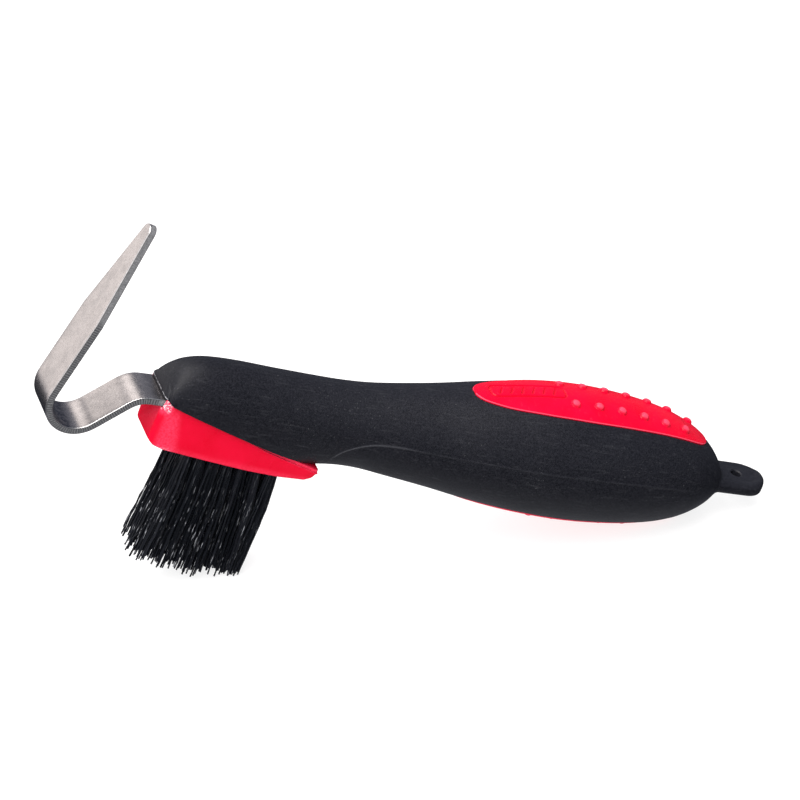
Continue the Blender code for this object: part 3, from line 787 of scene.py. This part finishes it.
def build_inlay(name, side, material, node):
    """A red inlay: rounded edge, two rows of domed nubs, and a plain sunk frame in front."""
    columns, rows, low_rows = 430, 127, 7
    xs, ys, to_edge = inlay_places(columns, rows, PAD_GAP)
    groove = frame_groove(xs, ys) * (side > 0)
    level = PAD_PROUD - rounding(PAD_ROUND, to_edge) - FRAME_DEPTH * groove
    points = [raised(xs, ys, side, level).reshape(-1, 3),
              inlay_grid(side, columns, low_rows, PAD_GAP, -PAD_DEPTH).reshape(-1, 3)]
    upper = np.arange(columns * rows).reshape(columns, rows)
    lower = (np.arange(columns * low_rows) + upper.size).reshape(columns, low_rows)
    faces = grid_faces(upper) + grid_faces(lower)
    for edge in (0, -1):
        faces += grid_faces(np.stack([upper[:, edge], lower[:, edge]], 1))
        faces.append(upper[edge].tolist() + lower[edge, ::-1].tolist())
    domes = nub_rings(side)
    for dome in domes:
        add_loft(points, faces, dome)
    points = np.concatenate(points)
    # Painted highlights: pale nub tops and a pale line along the rounded edge.
    crown_highlight = 0.45 * blend([height for height, _ in NUB_PROFILE], 0.35, 0.95)
    painted_highlight = np.r_[0.55 * bump(to_edge, 0.14, 0.16).ravel(), np.zeros(lower.size),
                   np.tile(np.repeat(crown_highlight, NUB_SIDES), len(domes))]
    # The groove mask also darkens the colour there, as painted shade.
    groove = np.r_[groove.ravel(), np.zeros(len(points) - upper.size)]
    inlay = new_mesh(name, points, faces, {"groove": groove, "painted_highlight": painted_highlight})
    finish_piece(inlay, material, node, angle=50)


# ---- the brush block

def ledge_depth(x):
    """How far the block's shelf lies below its top: it grows from nothing towards the rear."""
    return np.maximum(LEDGE_DEPTH * blend(x, LEDGE_START, LEDGE_FULL), 0.02)


def block_half_width(x):
    """Half width of the block's body, drawn in at its rounded front and rear."""
    wide = BLOCK_FRONT_HALF + (BLOCK_REAR_HALF - BLOCK_FRONT_HALF) * blend(x, -4, 36)
    gone = x - BLOCK_FRONT
    return (wide - rounding(BLOCK_CORNER, gone) - 0.35 * exp(-gone / 2.5)
            - rounding(BLOCK_END_ROUND, BLOCK_END - x))


def block_ring(x):
    """One closed ring of the brush block."""
    top = seat(x) - BLOCK_GAP - BLOCK_DIP * (1 - blend(x, BLOCK_FRONT, 0.8))
    under = np.interp(x, *zip(*BLOCK_UNDERSIDE))
    wide = block_half_width(x)
    narrow = wide - BLOCK_DRAFT
    inner = wide - LEDGE_STEP * blend(x, LEDGE_START, LEDGE_FULL) - 0.05
    shelf = top - ledge_depth(x)
    corner = min(BLOCK_ROUND, (top - under) * 0.3)
    channel = min(top, -STRIP_THICK - 0.12)
    right = [(0, channel), (3.2, channel), (SLOT_HALF - 0.02, channel), (SLOT_HALF, top - 0.05),
             (SLOT_HALF + 0.06, top), (inner - 0.12, top), (inner - 0.02, top - 0.05),
             (inner, min(top - 0.12, shelf + 0.02)), (inner, shelf), (wide - 0.18, shelf - 0.01),
             (wide - 0.05, shelf - 0.06), (wide, shelf - 0.2)]
    upper = len(right)
    wall_top, wall_end = shelf - 0.2, under + corner
    for share in np.linspace(0, 1, 9)[1:]:
        right.append((wide + (narrow - wide) * share, wall_top + (wall_end - wall_top) * share))
    for angle in np.linspace(0, pi / 2, 7)[1:]:
        right.append((narrow - corner * (1 - cos(angle)), wall_end - corner * sin(angle)))
    right += [((narrow - corner) * share, under) for share in (0.65, 0.3, 0)]
    ys, zs = np.array(right).T
    # The points of the top keep their order, and stay beside the steel.
    ys[3:8] = np.minimum(ys[3:8], inner - 0.02 * np.arange(5, 0, -1))
    lug = LUG_HALF + 0.6 * blend(x, 0.3, 1.6) - 0.02 * np.arange(upper, 0, -1)
    ys[:upper] = np.where(zs[:upper] > -1.2, np.minimum(ys[:upper], lug), ys[:upper])
    beside = blend(inner, SLOT_HALF + 0.1, SLOT_HALF + 0.5) if x < 4 else 1.0
    zs[3:] = np.minimum(zs[3:], channel + (top - channel) * beside)
    return mirror_ring(x, ys, zs)


def block_wear_and_highlight(points):
    """Stress-whitened plastic at the lugs; painted highlights past the front corners, underneath and
    along the rim.
    """
    x, y, z = points.T
    lug = blend(-x, -3.8, -1.6) * blend(z, -5.0, -1.6) * blend(np.abs(y), 5.0, 6.4)
    depth = np.clip(-z / 14, 0, 1)
    # Painted sheen: a pale band past the front corners, where the rounded front turns to the side.
    painted_sheen = 0.48 * blend(x, 0.4, 2.2 + depth) * (1 - blend(x, 3.6 + 2.5 * depth, 5.4 + 4 * depth))
    painted_sheen *= blend(np.abs(y), 5.8, 6.6) * blend(depth, 0.05, 0.35)
    # Painted highlight along the lower edge.
    under = 0.25 * blend(-z - 0.07 * x, 13.2, 14.8)
    above = z - (seat(x) - ledge_depth(x) - BLOCK_GAP)
    # Painted highlight along the shelf's rim.
    rim = 0.45 * blend(above, -0.22, -0.08) * blend(np.abs(y), 6.6, 7.0) * blend(x, 2, 6)
    return np.clip(lug + painted_sheen + under + rim, 0, 1)


def build_block(material):
    """Red block under the head, with pegs into the core and a hole for every tuft."""
    sweep = BLOCK_FRONT + BLOCK_CORNER * (1 - np.cos(np.linspace(0, pi / 2, 9)))
    rear = BLOCK_END - BLOCK_END_ROUND
    body = steps((BLOCK_FRONT + BLOCK_CORNER + 0.3, 12, 0.4), (12, 45, 0.8), (45, rear, 0.3),
                 (rear, BLOCK_END, 0.1))
    rings = np.array([block_ring(x) for x in np.r_[sweep, body]])
    # The lugs beside the steel are ragged.
    rng = np.random.default_rng(3)
    lug = blend(-rings[..., 0], -2.6, -0.9) * blend(rings[..., 2], -1.6, -0.2)
    rings[..., 2] += lug * rng.normal(0, 0.16, rings.shape[:2])
    rings[..., 1] += lug * rng.normal(0, 0.07, rings.shape[:2])
    block = loft("red_brush_block", rings)
    peg = [(0, PEG_RADIUS), (0.95, PEG_RADIUS), (1, PEG_RADIUS - 0.4)]
    pegs = [spool((x, 0, PEG_FOOT), (x, 0, top), peg) for x, top in PEGS]
    hole = [(0, HOLE_RADIUS), ((HOLE_MOUTH - 0.25) / HOLE_TOOL, HOLE_RADIUS),
            (HOLE_MOUTH / HOLE_TOOL, HOLE_RADIUS + 0.22), (1, HOLE_RADIUS + 0.9)]
    holes = [spool(root, root + unit(tip - root) * HOLE_TOOL, hole, 20) for root, tip in tuft_axes()]
    carve(block, ("UNION", loft("peg_tool", *pegs)), ("DIFFERENCE", loft("hole_tool", *holes)))
    # Stress-whitening at the lugs, and painted highlights at the front, the lower edge and the shelf's
    # rim.
    paint(block, "wear_and_highlight", block_wear_and_highlight)
    finish_piece(block, material, "brush_block", angle=32)


# ---- the bristles

def tuft_axes():
    """Hole bottom and tip of every tuft, read from the CAD tufts."""
    lines = []
    for number in range(1, TUFTS + 1):
        vertices = frame["nodes"][f"bristle_tuft_{number:02d}"].data.vertices
        places = from_frame([v.co for v in vertices])
        order = np.argsort(places[:, 2])
        lines.append((places[order[-8:]].mean(0), places[order[:8]].mean(0)))
    return lines


def filament_lines(root, tip, rng):
    """Middle lines of a tuft's strands: straight in the hole, then splayed and crimped."""
    count = (FILAMENTS, 1)
    length = np.linalg.norm(tip - root)
    down = unit(tip - root)
    number = np.arange(FILAMENTS)[:, None]
    turn = number * GOLDEN_TURN + rng.uniform(0, 6)
    spread = np.sqrt((number + 0.5) / FILAMENTS)
    home = (HOLE_RADIUS - FILAMENT_RADIUS - 0.05) * spread
    away = home + (1.0 + 0.9 * rng.random(count)) * spread
    lean = rng.normal(0, 0.35, (FILAMENTS, 2))
    clump = np.sin(CLUMPING * away * np.cos(turn) + rng.uniform(0, 6))
    clump *= np.sin(CLUMPING * away * np.sin(turn) + 1)
    reach = length + 0.4 + rng.normal(0, 0.7) + 2.2 * clump + rng.normal(-0.4, 0.35, count)
    reach -= 5.0 * rng.random(count) * (rng.random(count) < 0.10)
    bow = rng.normal(0, 0.16, (FILAMENTS, 2))
    phase, crimp = rng.uniform(0, 6.3, count), rng.uniform(0.04, 0.16, count)

    d = STRAND_START + (reach - STRAND_START) * np.linspace(0, 1, STRAND_RINGS)
    loose = np.sqrt(np.clip((d - LOOSE_START) / (length - LOOSE_START), 0, None))
    free = np.clip((d - HOLE_MOUTH) / (length - HOLE_MOUTH), 0, None)
    out = home + (away - home) * loose
    wave = crimp * np.clip(free * 4, 0, 1) * np.sin(d * 2 * pi / CRIMP_PITCH + phase)
    lines = root + d[..., None] * down
    for k, axis, part in zip((0, 1), square_to(down), (np.cos, np.sin)):
        aside = out * part(turn) + lean[:, k:k + 1] * free**1.6 + bow[:, k:k + 1] * np.sin(free * pi)
        lines += (aside + wave * part(phase))[..., None] * axis
    splay = BRUSH_SPLAY * (tip[0] - BRUSH_MIDDLE) / BRUSH_HALF
    lines[..., 0] += splay * free + BRUSH_LEAN * np.clip(free * 3, 0, 1)
    return lines


def cut_to_floor(line):
    """A strand, cut short where it would pass the standing surface."""
    heights = to_frame(line)[:, 2]
    share = min(1, (heights[0] - TIP_CLEARANCE * MM) / (heights[0] - heights[-1]))
    way = np.linspace(0, 1, len(line))
    return np.stack([np.interp(way * share, way, line[:, k]) for k in range(3)], -1)


def add_stray(lines, radii):
    """One thin loose strand, off the front of the first tuft near its tip."""
    front = lines[np.argmin(lines[:, -1, 0])]
    root = front[int(0.7 * len(front))]
    way = np.linspace(0, 1, lines.shape[1])[:, None]
    stray = root + np.array([-4.0, 0.3, -7.6]) * way + np.array([0.7, 0, 0]) * np.sin(way * pi)
    return np.r_[lines, stray[None]], np.r_[radii, STRAY_RADIUS]


def tubes(lines, radii):
    """Rings of one tube round each line."""
    side, other = (axis[:, :, None] for axis in square_to(unit(np.gradient(lines, axis=1))))
    angle = turns(STRAND_SIDES)[:, None]
    circle = side * np.cos(angle) + other * np.sin(angle)
    return lines[:, :, None] + circle * radii[:, None, None, None]


def build_tufts(material):
    """Every tuft as its own piece of separate strands."""
    rng = np.random.default_rng(11)
    for number, (root, tip) in enumerate(tuft_axes(), 1):
        lines = np.array([cut_to_floor(line) for line in filament_lines(root, tip, rng)])
        radii = FILAMENT_RADIUS * rng.uniform(0.88, 1.08, FILAMENTS)
        if number == 1:
            lines, radii = add_stray(lines, radii)
        tone = np.repeat(rng.random(len(radii)), STRAND_RINGS * STRAND_SIDES)
        way = np.tile(np.repeat(np.linspace(0, 1, STRAND_RINGS), STRAND_SIDES), len(radii))
        looks = {"tone": tone, "way": way}
        tuft = loft(f"bristles_{number:02d}", *tubes(lines, radii), attributes=looks)
        finish_piece(tuft, material, f"bristle_tuft_{number:02d}", angle=60)


# ---- the steel pick

def pick_line():
    """Middle line of the strip: x, z, heading, bend and distance from the nose, and its length."""
    spans = [(TANG_END_X - CREST_X, 0.0), (CREST_RADIUS * CREST_TURN, 1 / CREST_RADIUS),
             (SHANK_LENGTH, 0.0), (HOOK_RADIUS * HOOK_TURN, -1 / HOOK_RADIUS),
             (PRONG_STRAIGHT + PRONG_TAPER, 0.0)]
    bend = np.concatenate([np.full(round(length / LINE_STEP), value) for length, value in spans])
    ease = np.hanning(round(BEND_EASE / LINE_STEP))
    bend = np.convolve(bend, ease / ease.sum(), "same")
    heading = pi + np.cumsum(bend) * LINE_STEP
    x = TANG_END_X + np.cumsum(np.cos(heading)) * LINE_STEP
    z = -STRIP_THICK / 2 + np.cumsum(np.sin(heading)) * LINE_STEP
    gone = np.arange(1, len(bend) + 1) * LINE_STEP - TANG_END_X
    tip = gone[-1] - TIP_RADIUS
    marks = steps((-TANG_END_X, 0.5, 1.2), (0.5, tip, 0.12))
    marks = np.r_[marks, tip + TIP_RADIUS * np.sin(np.linspace(0, pi / 2 * 0.985, 14))[1:]]
    return *(np.interp(marks, gone, column) for column in (x, z, heading, bend)), marks, gone[-1]


def strip_half_width(gone, total):
    """Half width of the strip against the distance from the nose."""
    wide = TANG_HALF + (STRIP_HALF - TANG_HALF) * blend(gone, -TANG_NECK_X, -TANG_NECK_END_X)
    left = total - gone
    share = np.clip((left - TIP_RADIUS) / (PRONG_TAPER - TIP_RADIUS), 0, 1)
    taper = TIP_RADIUS + (STRIP_HALF - TIP_RADIUS) * share
    tip = np.sqrt(np.clip(TIP_RADIUS**2 - np.clip(TIP_RADIUS - left, 0, None) ** 2, 0.003, None))
    return np.where(left < TIP_RADIUS, tip, np.minimum(wide, taper))


def strip_columns():
    """The strip's section as rows of (side, inset, level, how far round the edge): one closed loop."""
    columns = []
    thick = STRIP_THICK / 2
    for face, radius in ((1, 0.40), (-1, 0.28)):
        corner = [(radius * (1 - cos(a)), face * (thick - radius * (1 - sin(a))), 1 - a / (pi / 2))
                  for a in np.linspace(0, pi / 2, 5)]
        columns += [(-face, *place) for place in corner]
        columns += [(share * face, radius, face * thick, 0.0) for share in np.linspace(-1, 1, 11)[1:-1]]
        columns += [(face, *place) for place in corner[::-1]]
        columns += [(face, 0.0, level * face, 1.0) for level in (0.4, 0.0, -0.35)]
    return np.array(columns).T


def pick_painted_shade(gone, level, rim):
    """Painted shade and dark reflections on the steel's faces: at the nose, at the shank's foot and
    round the hook.
    """
    hook = CREST_RADIUS * CREST_TURN - CREST_X + SHANK_LENGTH
    prong = hook + HOOK_RADIUS * HOOK_TURN
    inside, back = level < -0.7, level > 0.7
    painted_shade = 0.48 * blend(-gone, -4.6, -1.6) + 0.16 * bump(gone, 9.6, 1.3)
    painted_shade = painted_shade + 0.4 * inside * bump(gone, hook - 0.2, 1.2)
    painted_shade += inside * (blend(gone, hook + 4, hook + 8) - blend(gone, prong - 2, prong + 4))
    painted_shade += 0.9 * back * (blend(gone, hook + 8, hook + 14) - blend(gone, prong - 5.5, prong - 1))
    return painted_shade * (1 - rim)


def build_pick(material):
    """The strip, one corner softer than the other, with the ribs that shearing leaves on its edges."""
    x, z, heading, bend, gone, total = pick_line()
    half = strip_half_width(gone, total)[:, None]
    rng = np.random.default_rng(5)
    marks = np.arange(-40, 130, 1.7)
    wobble = np.interp(gone, marks, rng.normal(0, 0.5, len(marks)))
    ground = blend(gone, total - PRONG_TAPER - 1, total - PRONG_TAPER + 3)
    # Shear ribs; their valleys are also darkened in colour, as painted shade.
    rib = np.abs(np.sin(pi * gone / RIB_PITCH + wobble)) ** 0.8
    rib = (rib * blend(gone, 0.5, 2.0) * (1 - 0.75 * ground))[:, None]

    # The inside of a bend bulges sideways, and the ribs bite into the edges.
    side, inset, level, rim = strip_columns()
    corner = np.minimum(1, half)
    bulge = 1.1 * bend[:, None] * level * rim
    reach = half - inset * corner + (0.02 - RIB_DEPTH * rib + bulge) * rim * corner
    lift = level * np.minimum(1, np.sqrt(half / 0.5))
    points = np.stack([x[:, None] - np.sin(heading)[:, None] * lift, side * reach,
                       z[:, None] + np.cos(heading)[:, None] * lift], -1)
    gone = gone[:, None]
    looks = {"along": gone, "rim": rim, "painted_shade": pick_painted_shade(gone, level, rim), "rib": rib}
    looks = {label: np.broadcast_to(values, reach.shape).ravel() for label, values in looks.items()}
    pick = loft("steel_pick", points, attributes=looks)
    finish_piece(pick, material, "pick_blade", angle=50)


# ---- stage, light and camera

def build_stage():
    """A wide plain pale floor, which glows a little so that shadows on it stay faint."""
    s = Shader("pale_floor")
    s.set(Base_Color=s.mix(s.noise(0.01), (0.26, 0.26, 0.26), (0.28, 0.28, 0.28)), Roughness=0.9)
    s.set(Specular_IOR_Level=0, Emission_Strength=FLOOR_GLOW)
    s.material.cycles.emission_sampling = "NONE"
    corners = [(FLOOR_REACH * i, FLOOR_REACH * j, 0) for i, j in ((-1, -1), (1, -1), (1, 1), (-1, 1))]
    mesh = bpy.data.meshes.new("floor")
    mesh.from_pydata(corners, [], [(0, 1, 2, 3)])
    mesh.materials.append(s.material)
    floor = add_object("floor", mesh)
    floor.visible_glossy = False


def build_world():
    """White for the camera; for light and reflections a dim room with a few soft bright areas."""
    world = bpy.data.worlds.new("studio")
    bpy.context.scene.world = world
    world.use_nodes = True
    w = Nodes(world.node_tree)
    w.tree.nodes.clear()
    way = w.node("TexCoord")["Generated"]
    height = w.node("SeparateXYZ", {0: way})["Z"]
    level = w.span(height, -0.45, 0.10, 0, ROOM_LEVEL, "SMOOTHSTEP")
    for direction, inner, outer, strength in ROOM_GLOWS:
        facing = w.node("VectorMath", {0: way, 1: Vector(direction).normalized()},
                        operation="DOT_PRODUCT")["Value"]
        glow = w.span(facing, cos(radians(outer)), cos(radians(inner)), 0, strength, "SMOOTHSTEP")
        level = w.plus(level, glow)
    # The room is dark below the horizon, but for the pale floor straight below.
    level = w.times(level, w.span(height, -0.32, -0.07, 0, 1, "SMOOTHSTEP"))
    level = w.plus(level, w.span(height, -0.85, -0.64, FLOOR_MIRROR, 0.05, "SMOOTHSTEP"))
    tint = w.mix(w.span(level, 0.10, 0.70), (0.84, 0.92, 1.16), (1.03, 0.995, 0.98))
    room = w.node("Background", {"Color": tint, "Strength": level})[0]
    white = w.node("Background", {"Color": (1, 1, 1)})[0]
    seen = w.node("LightPath")["Is Camera Ray"]
    w.node("OutputWorld", {0: w.node("MixShader", {0: seen, 1: room, 2: white})[0]})


def add_softbox(name, place, size, power):
    """A square area light that faces the tool and isn't seen in reflections."""
    data = bpy.data.lights.new(name, "AREA")
    data.size, data.energy = size, power
    light = add_object(name, data)
    turn = (LIGHT_TARGET - Vector(place)).to_track_quat("-Z", "Y")
    light.matrix_world = Matrix.LocRotScale(Vector(place), turn, None)
    light.visible_glossy = False


def build_camera():
    """The camera at the viewing angle, turned with the handle's axes."""
    turn = Matrix.Rotation(VIEW_TURN, 4, "Z") @ Matrix.Rotation(pi / 2 - VIEW_HEIGHT, 4, "X")
    turn = turn @ Matrix.Rotation(VIEW_ROLL, 4, "Z")
    place = Vector(VIEW_TARGET) + turn @ Vector((0, 0, VIEW_DISTANCE))
    data = bpy.data.cameras.new("camera")
    data.lens = data.sensor_width * VIEW_DISTANCE / VIEW_WIDTH
    camera = add_object("camera", data)
    camera.matrix_world = Matrix.LocRotScale(AXES @ place, (AXES @ turn).to_quaternion(), None)
    bpy.context.scene.camera = camera


def build_looks():
    """Every piece, its material, and the stage."""
    build_skin(rubber_material())
    pad_red = red_material("red_inlay", False)
    build_inlay("top_inlay", 1, pad_red, "top_grip_pad")
    build_inlay("bottom_inlay", -1, pad_red, "bottom_grip_pad")
    build_block(red_material("red_block", True))
    build_tufts(nylon_material())
    build_pick(steel_material())
    plastic = hidden_material("core_plastic", (0.03, 0.03, 0.03), (0.05, 0.05, 0.05), 0.0, 0.5)
    dress(frame["nodes"]["handle_core"], plastic)
    wire = hidden_material("staple_wire", (0.42, 0.38, 0.28), (0.62, 0.56, 0.42), 1.0, 0.35)
    for number in range(1, TUFTS + 1):
        dress(frame["nodes"][f"tuft_staple_{number:02d}"], wire)
    build_stage()
    build_world()
    for softbox in SOFTBOXES:
        add_softbox(*softbox)
    build_camera()
    bpy.context.scene.view_settings.view_transform = "Standard"


build_looks()
